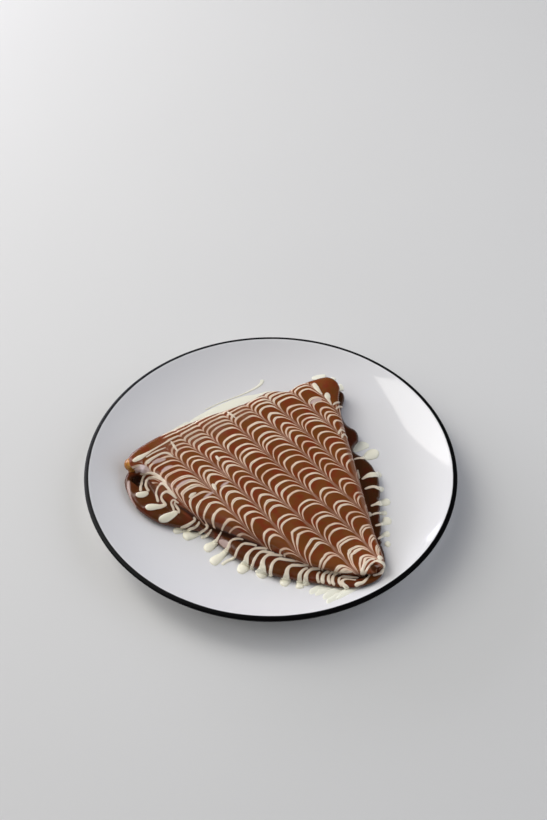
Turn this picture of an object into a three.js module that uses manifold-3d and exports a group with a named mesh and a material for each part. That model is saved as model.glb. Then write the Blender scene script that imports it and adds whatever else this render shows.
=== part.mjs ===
// A folded crepe under chocolate glaze on a round coupe plate, in millimetres with +Z up.
// The origin is the middle of the plate's foot, at the height of the surface that it stands on.
import * as THREE from "three";
import { mergeVertices } from "three/addons/utils/BufferGeometryUtils.js";
import Module from "manifold-3d";

const wasm = await Module();
wasm.setup();

// Plate: a flat well that curves up to a thick rounded lip.
const plateRadius = 135;
const plateHeight = 24;
const wellRadius = 76;
const wellHeight = 7.5;
const lipWidth = 3.4;
const lipDrop = 1.4;
const wallThickness = 4.6;
const footRadius = 74;
const footWidth = 4.5;
const plateSteps = 64;
const bowlSteps = 6;
const outerSteps = 4;

// Crepe: a lower packet of folded layers, and an upper packet lying on it.
const lowerThickness = 8.6;
const upperThickness = 9.6;
const gap = 0.35;
const layerGap = 0.9;
const equatorShare = 0.42;
const lowerEdgeRadius = 7.5;
const upperEdgeRadius = 7.5;
const backEdgeRadius = 12;
const underRadius = 4.5;
const topInsets = [0.6, 2, 4.5, 8];
const bottomInsets = [2, 6];
const innerShares = [
  { share: 0.12, skip: 2 },
  { share: 0.26, skip: 2 },
  { share: 0.45, skip: 2 },
  { share: 0.72, skip: 4 },
];
const crepeCentre = new THREE.Vector2(2, 4);
const tipPoint = new THREE.Vector2(74, -99);

// Places on the crepe that lie higher or lower than the rest: x, y, radius and height.
const upperSwells = [
  { x: 0, y: -5, radius: 55, height: 0.9 },
  { x: -64, y: -24, radius: 13, height: 1.5 },
  { x: -40, y: -12, radius: 8, height: -1.3 },
  { x: -58, y: 22, radius: 20, height: -1.2 },
  { x: -22, y: -52, radius: 11, height: 0.8 },
  { x: 44, y: 78, radius: 9, height: 0.9 },
];

// Drops of white chocolate dragged out over the crepe's edge onto the plate.
const dripHeight = 2.2;
const frontDrips = [
  { x: -73, y: -53, length: 15, width: 6.0, heading: 20 },
  { x: -64, y: -58, length: 15, width: 7.0, heading: 16 },
  { x: -48, y: -68, length: 14, width: 7.6, heading: 48 },
  { x: -44, y: -82, length: 18, width: 7.0, heading: 44 },
  { x: -24, y: -88, length: 12, width: 7.4, heading: 48 },
  { x: -12, y: -93, length: 11, width: 7.6, heading: 50 },
  { x: 5, y: -103, length: 12, width: 6.6, heading: 50 },
  { x: 17, y: -106, length: 11, width: 6.8, heading: 50 },
  { x: 26, y: -112, length: 13, width: 6.2, heading: 46 },
  { x: 36, y: -120, length: 16, width: 6.4, heading: 36 },
];
const sideDrips = [
  { x: 83, y: 5, length: 10, width: 6.6, heading: 203 },
  { x: 85, y: -12, length: 8, width: 5.4, heading: 176 },
  { x: 88, y: -25, length: 10, width: 6.8, heading: 178 },
  { x: 87, y: -35, length: 8, width: 5.0, heading: 184 },
  { x: 89, y: -43, length: 10, width: 6.8, heading: 182 },
  { x: 88, y: -57, length: 9, width: 5.2, heading: 182 },
  { x: 88, y: -67, length: 9, width: 5.2, heading: 190 },
];
// Two more lie in the gap between the flaps at the right.
const gapDrips = [
  { x: 74, y: 33, length: 8, width: 5.6, heading: 205 },
  { x: 82, y: 23, length: 13, width: 8.6, heading: 205 },
];

// Thick white drops on the round fold at the left: the blunt end, then the end that runs uphill.
const dropHeight = 1.6;
const dropSink = 0.4;
const lobeDrops = [
  { x: -97.5, y: -26, length: 12, width: 8.0, heading: 20 },
  { x: -91, y: -37, length: 16, width: 7.0, heading: 15 },
  { x: -78.5, y: -45.5, length: 13, width: 7.4, heading: 33 },
];

function plateTop(x, y) {
  const beyond = Math.max(0, Math.hypot(x, y) - wellRadius);
  const span = plateRadius - lipWidth - wellRadius;
  return wellHeight + (plateHeight - wellHeight) * (beyond / span) ** 2;
}

function smooth(value) {
  const t = THREE.MathUtils.clamp(value, 0, 1);
  return t * t * (3 - 2 * t);
}

function swellHeight(swells, x, y) {
  let height = 0;
  for (const swell of swells) {
    const away = Math.hypot(x - swell.x, y - swell.y) / swell.radius;
    height += swell.height * Math.exp(-away * away);
  }
  return height;
}

// Both packets get thinner towards the tip of the wedge.
function tipTaper(x, y) {
  return smooth(Math.hypot(x - tipPoint.x, y - tipPoint.y) / 75);
}

function lowerTop(x, y) {
  const thickness = lowerThickness * (0.55 + 0.45 * tipTaper(x, y));
  return plateTop(x, y) + thickness;
}

function upperTop(x, y) {
  const thickness = upperThickness * (0.68 + 0.32 * tipTaper(x, y));
  return lowerTop(x, y) + thickness + swellHeight(upperSwells, x, y);
}

function closedSolid(geometry) {
  const bare = geometry.clone();
  bare.deleteAttribute("normal");
  bare.deleteAttribute("uv");
  const merged = mergeVertices(bare, 1e-4);
  const index = merged.index.array;
  const faces = [];
  for (let i = 0; i < index.length; i += 3) {
    const [a, b, c] = [index[i], index[i + 1], index[i + 2]];
    if (a !== b && b !== c && c !== a) {
      faces.push(a, b, c);
    }
  }
  return new wasm.Manifold(new wasm.Mesh({
    numProp: 3,
    vertProperties: new Float32Array(merged.attributes.position.array),
    triVerts: new Uint32Array(faces),
  }));
}

function geometryOf(solid) {
  const mesh = solid.getMesh();
  const geometry = new THREE.BufferGeometry();
  geometry.setAttribute("position", new THREE.BufferAttribute(mesh.vertProperties, 3));
  geometry.setIndex(new THREE.BufferAttribute(mesh.triVerts, 1));
  return geometry;
}

function plateGeometry() {
  const lipStart = plateRadius - lipWidth;
  const underside = wellHeight - wallThickness;
  const profile = [
    new THREE.Vector2(0, underside),
    new THREE.Vector2(footRadius - 2, underside),
    new THREE.Vector2(footRadius, 0),
    new THREE.Vector2(footRadius + footWidth, 0),
    new THREE.Vector2(footRadius + footWidth + 1.5, underside - 0.4),
  ];
  // The outside rises beside the inside, one wall thickness below it.
  const outerStart = footRadius + footWidth + 8;
  for (let i = 0; i <= outerSteps; i += 1) {
    const rise = i / outerSteps;
    const radius = THREE.MathUtils.lerp(outerStart, lipStart, rise);
    profile.push(new THREE.Vector2(radius + 0.8, plateTop(radius, 0) - wallThickness * (1 - 0.12 * rise)));
  }
  // The lip is a quarter of an ellipse outside its crest, tucked under below.
  profile.push(new THREE.Vector2(plateRadius - 0.5, plateHeight - 2.2 * lipDrop));
  for (let angle = 0; angle <= 90; angle += 30) {
    const turn = THREE.MathUtils.degToRad(angle);
    const radius = lipStart + lipWidth * Math.cos(turn);
    profile.push(new THREE.Vector2(radius, plateHeight - lipDrop + lipDrop * Math.sin(turn)));
  }
  for (let i = bowlSteps; i > 0; i -= 1) {
    const radius = THREE.MathUtils.lerp(wellRadius, lipStart - 1.2, i / bowlSteps);
    profile.push(new THREE.Vector2(radius, plateTop(radius, 0)));
  }
  profile.push(new THREE.Vector2(wellRadius, wellHeight));
  profile.push(new THREE.Vector2(0, wellHeight));
  return new THREE.LatheGeometry(profile, plateSteps).rotateX(Math.PI / 2);
}

// A low pointed drop that starts at its outer end (x, y), runs along its heading and lies on a surface.
function dropGeometry({ x, y, length, width, heading }, height, surface) {
  const geometry = new THREE.SphereGeometry(1, 8, 6).rotateZ(-Math.PI / 2);
  const turn = THREE.MathUtils.degToRad(heading);
  const position = geometry.attributes.position;
  for (let i = 0; i < position.count; i += 1) {
    const along = (position.getX(i) + 1) / 2;
    // The belly sits nearer the outer end, and the inner end thins to a neck.
    const belly = 1.15 - 0.55 * along;
    const forward = along * length;
    const sideways = position.getY(i) * belly * width / 2;
    const px = x + forward * Math.cos(turn) - sideways * Math.sin(turn);
    const py = y + forward * Math.sin(turn) + sideways * Math.cos(turn);
    position.setXYZ(i, px, py, surface(px, py) + position.getZ(i) * belly * height);
  }
  return geometry;
}

function signedDistance(outline, x, y) {
  let nearest = Infinity;
  let inside = false;
  for (let i = 0; i < outline.length; i += 1) {
    const a = outline[i];
    const b = outline[(i + 1) % outline.length];
    const dx = b.x - a.x;
    const dy = b.y - a.y;
    const t = THREE.MathUtils.clamp(((x - a.x) * dx + (y - a.y) * dy) / (dx * dx + dy * dy), 0, 1);
    nearest = Math.min(nearest, Math.hypot(x - a.x - t * dx, y - a.y - t * dy));
    if ((a.y > y) !== (b.y > y) && x < a.x + dx * (y - a.y) / dy) {
      inside = !inside;
    }
  }
  return inside ? nearest : -nearest;
}

function closedCurve(points, steps) {
  const corners = points.map(([x, y]) => new THREE.Vector3(x, y, 0));
  const curve = new THREE.CatmullRomCurve3(corners, true, "centripetal");
  return curve.getSpacedPoints(steps).slice(0, steps).map((p) => new THREE.Vector2(p.x, p.y));
}

// Quarter of a superellipse: 0 at the edge, 1 once the distance reaches the radius.
function roundOver(distance, radius) {
  const u = 1 - THREE.MathUtils.clamp(distance / radius, 0, 1);
  return (1 - u ** 2.3) ** (1 / 2.3);
}

function smoothLoop(points, passes) {
  let loop = points;
  for (let pass = 0; pass < passes; pass += 1) {
    const last = loop;
    loop = last.map((point, i) => {
      const before = last[(i + last.length - 1) % last.length];
      const after = last[(i + 1) % last.length];
      return before.clone().add(after).multiplyScalar(0.25).addScaledVector(point, 0.5);
    });
  }
  return loop;
}

// The outline moved inwards, with its corners eased more the further in it lies.
function insetLoop(outline, inset) {
  const count = outline.length;
  const moved = outline.map((point, i) => {
    const before = outline[(i + count - 2) % count];
    const after = outline[(i + 2) % count];
    const along = after.clone().sub(before).normalize();
    return point.clone().add(new THREE.Vector2(-along.y, along.x).multiplyScalar(inset));
  });
  return smoothLoop(moved, Math.round(1.5 * inset));
}

// A soft packet between two surfaces: loops step in from its outline to its centre, above and below.
// The loops near the edge follow it closely, and further in each has half as many points.
function packetGeometry({ outline, under, over, edgeRadius }) {
  const vertices = [];
  const faces = [];

  function heightAt(x, y, side) {
    const low = under(x, y);
    const high = over(x, y);
    const equator = low + equatorShare * (high - low);
    const inward = Math.max(0, signedDistance(outline, x, y));
    if (side > 0) {
      return equator + (high - equator) * roundOver(inward, edgeRadius(x, y));
    }
    return equator - (equator - low) * roundOver(inward, underRadius);
  }

  function addLoop(loop, side) {
    const start = vertices.length / 3;
    for (const point of loop) {
      vertices.push(point.x, point.y, heightAt(point.x, point.y, side));
    }
    return { start, count: loop.length };
  }

  function addFace(corners, side) {
    faces.push(...(side > 0 ? corners : [corners[0], corners[2], corners[1]]));
  }

  function bridge(outer, inner, side) {
    const step = outer.count / inner.count;
    for (let i = 0; i < inner.count; i += 1) {
      const near = inner.start + i;
      const next = inner.start + (i + 1) % inner.count;
      for (let k = 0; k < step; k += 1) {
        const a = outer.start + (i * step + k) % outer.count;
        const b = outer.start + (i * step + k + 1) % outer.count;
        addFace([a, b, k === 0 ? near : next], side);
      }
      const middle = outer.start + (i * step + 1) % outer.count;
      addFace([middle, next, near], side);
    }
  }

  const equator = addLoop(outline, 1);
  for (const side of [1, -1]) {
    let outer = equator;
    let loop = outline;
    for (const inset of side > 0 ? topInsets : bottomInsets) {
      loop = insetLoop(outline, inset);
      const ring = addLoop(loop, side);
      bridge(outer, ring, side);
      outer = ring;
    }
    for (const { share, skip } of innerShares) {
      const kept = loop.filter((_, i) => i % skip === 0);
      const ring = addLoop(kept.map((point) => point.clone().lerp(crepeCentre, share)), side);
      bridge(outer, ring, side);
      outer = ring;
    }
    const middle = vertices.length / 3;
    vertices.push(crepeCentre.x, crepeCentre.y, heightAt(crepeCentre.x, crepeCentre.y, side));
    for (let i = 0; i < outer.count; i += 1) {
      addFace([outer.start + i, outer.start + (i + 1) % outer.count, middle], side);
    }
  }
  const geometry = new THREE.BufferGeometry();
  geometry.setAttribute("position", new THREE.Float32BufferAttribute(vertices, 3));
  geometry.setIndex(faces);
  return geometry;
}

// A stretched ball that is cut out of a packet, turned about Z and then tilted up along its length.
function hollowSolid({ x, y, z, radii, heading, tilt }) {
  const geometry = new THREE.SphereGeometry(1, 10, 8);
  geometry.scale(...radii);
  geometry.rotateY(-THREE.MathUtils.degToRad(tilt));
  geometry.rotateZ(THREE.MathUtils.degToRad(heading));
  geometry.translate(x, y, z);
  return closedSolid(geometry);
}

// Outline of the upper packet, from the tip up the right side, along the back and down the front.
const upperOutline = closedCurve([
  [77, -91], [72, -60], [66, -26], [60, 10], [54, 45], [52, 68],
  [53, 80], [45, 88], [33, 86], [20, 81], [13, 75], [-1, 75], [-20, 62],
  [-59, 43], [-88, 24], [-104, 3], [-100, -5], [-87, -10], [-74, -27], [-58, -43],
  [-40, -53], [-20, -62], [0, -73], [21, -86], [42, -94], [60, -99], [73, -99],
], 116);

// The lower packet shows as a round fold at the left, a lip in front and flaps at the right.
const lowerCurve = closedCurve([
  [78, -88], [78, -60], [79, -30], [79, -4], [74, 9], [68, 16], [62, 21], [62, 27],
  [66, 33], [65, 42], [58, 48], [54, 62], [57, 79], [48, 84], [20, 76], [-5, 66],
  [-50, 42], [-80, 22], [-100, 5], [-106, -10], [-102, -24], [-94, -36], [-80, -45.5],
  [-64, -49.5], [-45, -55.5], [-30, -71], [-12, -84], [6, -93], [28, -99], [55, -107], [72, -102],
], 152);

// White drops pull small notches in the lip where they run over it.
const notchDepth = 1.6;
const notchWidth = 3.2;
const lowerOutline = lowerCurve.map((point) => {
  let depth = 0;
  for (const drip of [...frontDrips, ...sideDrips]) {
    const turn = THREE.MathUtils.degToRad(drip.heading);
    const rootX = drip.x + drip.length * Math.cos(turn);
    const rootY = drip.y + drip.length * Math.sin(turn);
    const away = Math.hypot(point.x - rootX, point.y - rootY) / notchWidth;
    depth += notchDepth * Math.exp(-away * away);
  }
  const inward = crepeCentre.clone().sub(point).normalize();
  return point.clone().addScaledVector(inward, Math.min(depth, notchDepth));
});

// A drop stops short of the packet that it ran down from.
function clearOfCrepe(drip) {
  const turn = THREE.MathUtils.degToRad(drip.heading);
  let length = drip.length;
  while (length > 4) {
    const x = drip.x + length * Math.cos(turn);
    const y = drip.y + length * Math.sin(turn);
    if (signedDistance(lowerOutline, x, y) < -1.4) {
      break;
    }
    length -= 0.25;
  }
  return { ...drip, length };
}

function plateWithDrips() {
  let solid = closedSolid(plateGeometry());
  for (const drip of [...frontDrips, ...sideDrips, ...gapDrips]) {
    const drop = closedSolid(dropGeometry(clearOfCrepe(drip), dripHeight, plateTop));
    solid = solid.add(drop);
  }
  return geometryOf(solid);
}

// The rounded top of the lower packet, a little below its skin, so that the drops are sunk into it.
function lobeSurface(x, y) {
  const inward = Math.max(0, signedDistance(lowerOutline, x, y));
  const low = plateTop(x, y) + gap;
  const equator = low + equatorShare * (lowerTop(x, y) - low);
  return equator + (lowerTop(x, y) - equator) * roundOver(inward, lowerEdgeRadius) - dropSink;
}

// A dark hollow between the corner of the upper packet and the round fold.
const pocket = { x: -95.5, y: -11, z: 18.5, radii: [4.6, 4, 4.2], heading: 30, tilt: 0 };

function lowerPacket() {
  const geometry = packetGeometry({
    outline: lowerOutline,
    under: (x, y) => plateTop(x, y) + gap,
    over: lowerTop,
    edgeRadius: () => lowerEdgeRadius,
  });
  let solid = closedSolid(geometry).subtract(hollowSolid(pocket));
  for (const drop of lobeDrops) {
    solid = solid.add(closedSolid(dropGeometry(drop, dropHeight, lobeSurface)));
  }
  return geometryOf(solid);
}

// The rolled end of the wedge is open: a small oval mouth that faces out and up.
const rolledMouth = { x: 73.5, y: -97, z: 25.5, radii: [6, 3, 2.6], heading: -56, tilt: 28 };

// The back of the upper packet slopes away more softly than its other edges.
function upperEdge(x, y) {
  const towardsBack = smooth((y - 0.5 * x - 10) / 60);
  return THREE.MathUtils.lerp(upperEdgeRadius, backEdgeRadius, towardsBack);
}

function upperPacket() {
  const geometry = packetGeometry({
    outline: upperOutline,
    under: (x, y) => lowerTop(x, y) + layerGap,
    over: upperTop,
    edgeRadius: upperEdge,
  });
  return geometryOf(closedSolid(geometry).subtract(hollowSolid(rolledMouth)));
}

function addPiece(name, geometry, colour, roughness) {
  geometry.computeVertexNormals();
  const material = new THREE.MeshStandardMaterial({ color: colour, roughness, metalness: 0 });
  const piece = new THREE.Mesh(geometry, material);
  piece.name = name;
  return piece;
}

const model = new THREE.Group();
model.add(addPiece("plate", plateWithDrips(), "#e9e9ea", 0.15));
model.add(addPiece("crepe_lower_fold", lowerPacket(), "#5c2a1a", 0.35));
model.add(addPiece("crepe_upper_fold", upperPacket(), "#7a3c20", 0.3));

export default model;
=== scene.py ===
# A folded crepe under feathered chocolate glaze, on the coupe plate that it was served on.
import math

import bmesh
import bpy
import numpy as np
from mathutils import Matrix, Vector
from mathutils.bvhtree import BVHTree


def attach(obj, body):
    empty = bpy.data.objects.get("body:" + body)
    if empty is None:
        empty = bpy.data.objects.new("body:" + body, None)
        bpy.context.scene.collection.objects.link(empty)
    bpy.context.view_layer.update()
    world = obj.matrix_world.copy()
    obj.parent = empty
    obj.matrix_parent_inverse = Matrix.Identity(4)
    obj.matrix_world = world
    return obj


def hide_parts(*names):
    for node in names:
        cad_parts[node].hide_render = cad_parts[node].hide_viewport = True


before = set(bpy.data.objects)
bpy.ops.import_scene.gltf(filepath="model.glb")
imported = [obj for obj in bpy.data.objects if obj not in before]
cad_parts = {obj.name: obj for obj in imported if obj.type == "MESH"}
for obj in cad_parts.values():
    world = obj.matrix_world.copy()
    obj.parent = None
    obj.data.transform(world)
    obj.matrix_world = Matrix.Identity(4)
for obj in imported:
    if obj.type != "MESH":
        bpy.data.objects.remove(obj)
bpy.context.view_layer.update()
mm = 0.001  # sizes and places below are in millimetres

print("camera and light")
view = {
    "place": (2.0, -589.4, 702.2),
    "downwards": 46.53,  # degrees below the horizon
    "lens": 54.3,
    "sensor": 36.0,
    "picture": (547, 820),  # pixels
}


def addCamera():
    data = bpy.data.cameras.new("camera")
    data.lens = view["lens"]
    camera = bpy.data.objects.new("camera", data)
    camera.location = Vector(view["place"]) * mm
    camera.rotation_euler = (math.radians(90 - view["downwards"]), 0, 0)
    bpy.context.scene.collection.objects.link(camera)
    bpy.context.scene.camera = camera


addCamera()


def linearColour(hexCode):
    channels = [int(hexCode[i:i + 2], 16) / 255 for i in (1, 3, 5)]
    return [c / 12.92 if c <= 0.04045 else ((c + 0.055) / 1.055) ** 2.4 for c in channels] + [1.0]


def patternScale(size):
    # How many times a pattern of this size goes into a metre.
    return 1 / (size * mm)


def wire(tree, node, links):
    # Each value is a number, a hex colour, a socket, or a node whose first output in use is taken.
    for socket, value in links.items():
        if isinstance(value, str):
            value = linearColour(value)
        if isinstance(value, bpy.types.Node):
            value = next(output for output in value.outputs if output.enabled)
        if isinstance(value, bpy.types.NodeSocket):
            tree.links.new(value, node.inputs[socket])
        else:
            node.inputs[socket].default_value = value


def addNode(tree, kind, links=None, **settings):
    # Sockets 6 and 7 of a colour mix are its two colours.
    node = tree.nodes.new("ShaderNode" + kind)
    for setting, value in settings.items():
        setattr(node, setting, value)
    wire(tree, node, links or {})
    return node


def newMaterial(name):
    material = bpy.data.materials.new(name)
    material.use_nodes = True
    tree = material.node_tree
    tree.nodes.clear()
    shader = addNode(tree, "BsdfPrincipled")
    addNode(tree, "OutputMaterial", {"Surface": shader})
    return material, tree, shader


studio = {
    "worldColour": "#dfe6f2",
    "worldStrength": 0.05,
    # name, place, point it faces, width and height, power, colour, whether the gloss mirrors it
    "lights": [
        ("window", (-1100, 865, 1535), (0, 865, 1535), (1070, 1670), 21, "#fffdf8", True),
        ("soft light from the left", (-1150, 250, 1150), (0, 0, 0), (2600, 2600), 25, "#fffdfa", False),
        ("low light at the back", (-1244, 1120, 295), (0, 0, 0), (1800, 560), 19, "#f1f0ff", True),
        ("fill from the right", (1496, -52, 1170), (0, 0, 0), (2400, 2000), 20, "#f0f3ff", False),
    ],
    "floorReach": 4000,
    "floorColour": "#dcdcda",
    "grainSize": 33.3,
    "grainDark": 0.97,
    "floorRoughness": 0.7,
}


def addLight(name, place, aim, size, power, colour, mirrored):
    data = bpy.data.lights.new(name, "AREA")
    data.shape = "RECTANGLE"
    data.size = size[0] * mm
    data.size_y = size[1] * mm
    data.energy = power
    data.color = linearColour(colour)[:3]
    light = bpy.data.objects.new(name, data)
    light.location = Vector(place) * mm
    light.rotation_euler = (Vector(aim) * mm - light.location).to_track_quat("-Z", "Y").to_euler()
    light.visible_glossy = mirrored
    bpy.context.scene.collection.objects.link(light)


def addStudio():
    scene = bpy.context.scene
    scene.view_settings.view_transform = "Standard"
    world = bpy.data.worlds.new("studio")
    world.use_nodes = True
    wire(world.node_tree, world.node_tree.nodes["Background"],
         {"Color": studio["worldColour"], "Strength": studio["worldStrength"]})
    scene.world = world
    for light in studio["lights"]:
        addLight(*light)

    bm = bmesh.new()
    bmesh.ops.create_grid(bm, x_segments=1, y_segments=1, size=studio["floorReach"] * mm)
    mesh = bpy.data.meshes.new("floor")
    bm.to_mesh(mesh)
    bm.free()
    floor = bpy.data.objects.new("floor", mesh)
    scene.collection.objects.link(floor)
    # Painted board: matt and even.
    material, tree, shader = newMaterial("painted board")
    grain = addNode(tree, "TexNoise", {"Scale": patternScale(studio["grainSize"]), "Detail": 2.0})
    tone = addNode(tree, "MapRange", {"Value": grain, "To Min": studio["grainDark"], "To Max": 1.0})
    paint = addNode(tree, "Mix", {0: 1.0, 6: studio["floorColour"], 7: tone},
                    data_type="RGBA", blend_type="MULTIPLY")
    wire(tree, shader, {"Base Color": paint, "Roughness": studio["floorRoughness"]})
    mesh.materials.append(material)


addStudio()


def addPiece(name, mesh, material, nodes=()):
    piece = bpy.data.objects.new(name, mesh)
    bpy.context.scene.collection.objects.link(piece)
    mesh.materials.clear()
    mesh.materials.append(material)
    mesh.polygons.foreach_set("use_smooth", [True] * len(mesh.polygons))
    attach(piece, "root")
    if nodes:
        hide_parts(*nodes)
    return piece


print("plate")
plate = {
    "radius": 135.0,
    "height": 24.0,
    "wellRadius": 76.0,
    "wellHeight": 7.5,
    "lipWidth": 3.4,
    "lipDrop": 1.4,
    "lipTuck": 0.25,  # the lip's round is drawn in by this where it meets the wall
    "lipUnder": (0.7, 3.08),  # and the wall leaves it this far inwards and down
    "lipBlend": 1.2,
    "wall": 4.6,
    "wallThinning": 0.12,  # share of its thickness that the wall loses towards the rim
    "wallShift": 0.8,
    "footRadius": 74.0,
    "footWidth": 4.5,
    "footEdge": 0.8,
    "footFlare": 8.0,  # the wall starts this far outside the foot
    # Fillets beside the foot: distance from it, and drop below the dish's underside.
    "footInside": [(3.5, 0), (2, 0.3), (1, 1.2)],
    "footOutside": [(0.6, 1.1), (2, 0.4)],
    "innerRing": 30.0,
    "turns": 256,
    "rimInside": (131.65, 132.05),  # the dark band begins between these radii on the inside
    "rimBelow": (19.2, 19.8),  # and ends between these heights on the outside
    "rimWander": 0.4,
    "white": "#e6e6e8",
    "whiteCloud": "#eaeaea",
    "rimDark": "#060607",
    "fleck": "#8c8880",
    "fleckCell": 22.2,  # one fleck at most in each cell of this size
    "fleckFree": 0.9,  # share of the cells without one
    "fleckRadius": 0.27,
    "glazeRoughness": (0.05, 0.08),
    "bandRoughness": 0.4,  # added on the dark band
    "glazeSpecular": 0.5,
    "bandSpecular": 0.15,
    "relief": (0.05, 0.2),  # strength and depth of its ripples
    "ior": 1.5,
    # Size and detail of each uneven pattern.
    "patterns": {"wander": (16.7, 2.0), "cloud": (71.4, 3.0), "ripple": (11.1, 1.0)},
}


def plateTop(x, y):
    beyond = np.maximum(0, np.hypot(x, y) - plate["wellRadius"])
    span = plate["radius"] - plate["lipWidth"] - plate["wellRadius"]
    return plate["wellHeight"] + (plate["height"] - plate["wellHeight"]) * (beyond / span) ** 2


def plateProfile():
    foot, width, wall = plate["footRadius"], plate["footWidth"], plate["wall"]
    well, edge = plate["wellRadius"], plate["footEdge"]
    under = plate["wellHeight"] - wall
    lipStart = plate["radius"] - plate["lipWidth"]
    # The foot ring stands on a narrow rounded edge.
    points = [(0, under)] + [(foot - away, under - drop) for away, drop in plate["footInside"]]
    for turn in range(0, 181, 20):
        angle = math.radians(180 - turn)
        points.append((foot + width / 2 * (1 + math.cos(angle)), edge * (1 - math.sin(angle))))
    points += [(foot + width + away, under - drop) for away, drop in plate["footOutside"]]
    start = foot + width + plate["footFlare"]
    for step in range(15):
        rise = step / 14
        radius = start + (lipStart - start) * rise
        thickness = wall * (1 - plate["wallThinning"] * rise)
        points.append((radius + plate["wallShift"], float(plateTop(radius, 0)) - thickness))
    inwards, down = plate["lipUnder"]
    points.append((plate["radius"] - inwards, plate["height"] - down))
    for turn in range(-10, 91, 10):
        angle = math.radians(max(turn, 0))
        tuck = plate["lipTuck"] if turn < 0 else 0
        points.append((lipStart + plate["lipWidth"] * math.cos(angle) - tuck,
                       plate["height"] - plate["lipDrop"] * (1 - math.sin(angle)) - 2 * tuck))
    for step in range(24, 0, -1):
        radius = well + (lipStart - plate["lipBlend"] - well) * step / 24
        points.append((radius, float(plateTop(radius, 0))))
    return points + [(radius, plate["wellHeight"]) for radius in (well, plate["innerRing"], 0)]


def plateGlaze():
    # Porcelain under a clear tin-white glaze: bright, smooth and glossy, with a few faint flecks.
    material, tree, shader = newMaterial("glazed porcelain")
    place = addNode(tree, "TexCoord").outputs["Object"]
    axes = addNode(tree, "SeparateXYZ", {0: place})
    flat = addNode(tree, "CombineXYZ", {0: axes.outputs[0], 1: axes.outputs[1]})
    radius = addNode(tree, "VectorMath", {0: flat}, operation="LENGTH")
    wander, cloud, ripple = [
        addNode(tree, "TexNoise", {"Vector": place, "Scale": patternScale(size), "Detail": detail})
        for size, detail in plate["patterns"].values()
    ]
    # The brushed band wanders a little.
    edge = addNode(tree, "Math", {0: wander, 1: plate["rimWander"] * mm, 2: radius},
                   operation="MULTIPLY_ADD")
    inside, below = [
        addNode(tree, "MapRange", {"Value": value, "From Min": start * mm, "From Max": end * mm})
        for value, (start, end) in ((edge, plate["rimInside"]), (axes.outputs[2], plate["rimBelow"]))
    ]
    band = addNode(tree, "Math", {0: inside, 1: below}, operation="MULTIPLY")
    cells = addNode(tree, "TexVoronoi", {"Vector": place, "Scale": patternScale(plate["fleckCell"])})
    reach = plate["fleckRadius"] / plate["fleckCell"]
    speck = addNode(tree, "MapRange", {"Value": cells.outputs["Distance"], "From Min": reach,
                                       "From Max": reach / 2})
    rare = addNode(tree, "SeparateColor", {0: cells.outputs["Color"]})
    some = addNode(tree, "Math", {0: rare.outputs[0], 1: plate["fleckFree"]}, operation="GREATER_THAN")
    fleck = addNode(tree, "Math", {0: speck, 1: some}, operation="MULTIPLY")
    body = addNode(tree, "Mix", {0: cloud, 6: plate["white"], 7: plate["whiteCloud"]}, data_type="RGBA")
    flecked = addNode(tree, "Mix", {0: fleck, 6: body, 7: plate["fleck"]}, data_type="RGBA")
    finish = addNode(tree, "Mix", {0: band, 6: flecked, 7: plate["rimDark"]}, data_type="RGBA")
    smooth, rough = plate["glazeRoughness"]
    gloss = addNode(tree, "MapRange", {"Value": cloud, "To Min": smooth, "To Max": rough})
    worn = addNode(tree, "Math", {0: band, 1: plate["bandRoughness"], 2: gloss}, operation="MULTIPLY_ADD")
    dull = addNode(tree, "MapRange", {"Value": band, "To Min": plate["glazeSpecular"],
                                      "To Max": plate["bandSpecular"]})
    strength, depth = plate["relief"]
    bump = addNode(tree, "Bump", {"Height": ripple, "Strength": strength, "Distance": depth * mm})
    wire(tree, shader, {"Base Color": finish, "IOR": plate["ior"], "Roughness": worn,
                        "Specular IOR Level": dull, "Normal": bump})
    return material


def addPlate():
    bm = bmesh.new()
    corners = [bm.verts.new((radius * mm, 0, z * mm)) for radius, z in plateProfile()]
    for low, high in zip(corners, corners[1:]):
        bm.edges.new((low, high))
    bmesh.ops.spin(bm, geom=bm.verts[:] + bm.edges[:], cent=(0, 0, 0), axis=(0, 0, 1), angle=2 * math.pi,
                   steps=plate["turns"], use_merge=True)
    bmesh.ops.remove_doubles(bm, verts=bm.verts, dist=0.01 * mm)
    bmesh.ops.recalc_face_normals(bm, faces=bm.faces)
    mesh = bpy.data.meshes.new("plate_dish")
    bm.to_mesh(mesh)
    bm.free()
    addPiece("plate_dish", mesh, plateGlaze(), ["plate"])


addPlate()

print("skin of the crepe")
skin = {
    "voxel": 0.82,
    "relaxing": 26,
    "relaxShares": (0.5, -0.53),
    # Glaze fills the crease between the packets: place, height at the upper packet, reach over the lower.
    "crease": [(-99, 2, 25, 6), (-92, -1.5, 25, 8), (-85, -5, 24, 9), (-78, -16, 24, 9),
               (-72, -26, 24, 8.5), (-63, -36, 22.5, 7), (-55, -45, 21, 5), (-41, -52, 20.5, 4),
               (-21, -61, 20.5, 4), (-2, -71, 20.5, 4), (21, -84, 20, 4), (42, -91, 20.5, 4),
               (62, -96, 22, 3)],
    "creaseFoot": 15.5,
    "creaseRoot": 5.0,  # how far the fill reaches into the upper packet
    "creaseTuck": (1.5, 0.5),  # how much lower the fill lies in there, at its top and at its foot
    "nub": ((-102.0, 2.0, 20.6), 4.9),  # browned crepe that sticks out at the left corner
    "mouth": ((70.4, -95.8, 27.0), 4.8, 2.8),  # the open end of the roll at the tip, its radius and depth
    "mouthHeading": (-0.4, 0.55, -0.73),
    "mouthRim": (1.1, 0.5),  # width and height of the raised rim round it
    "mouthFloor": 0.3,  # share of its radius that lies at full depth
}


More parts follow.
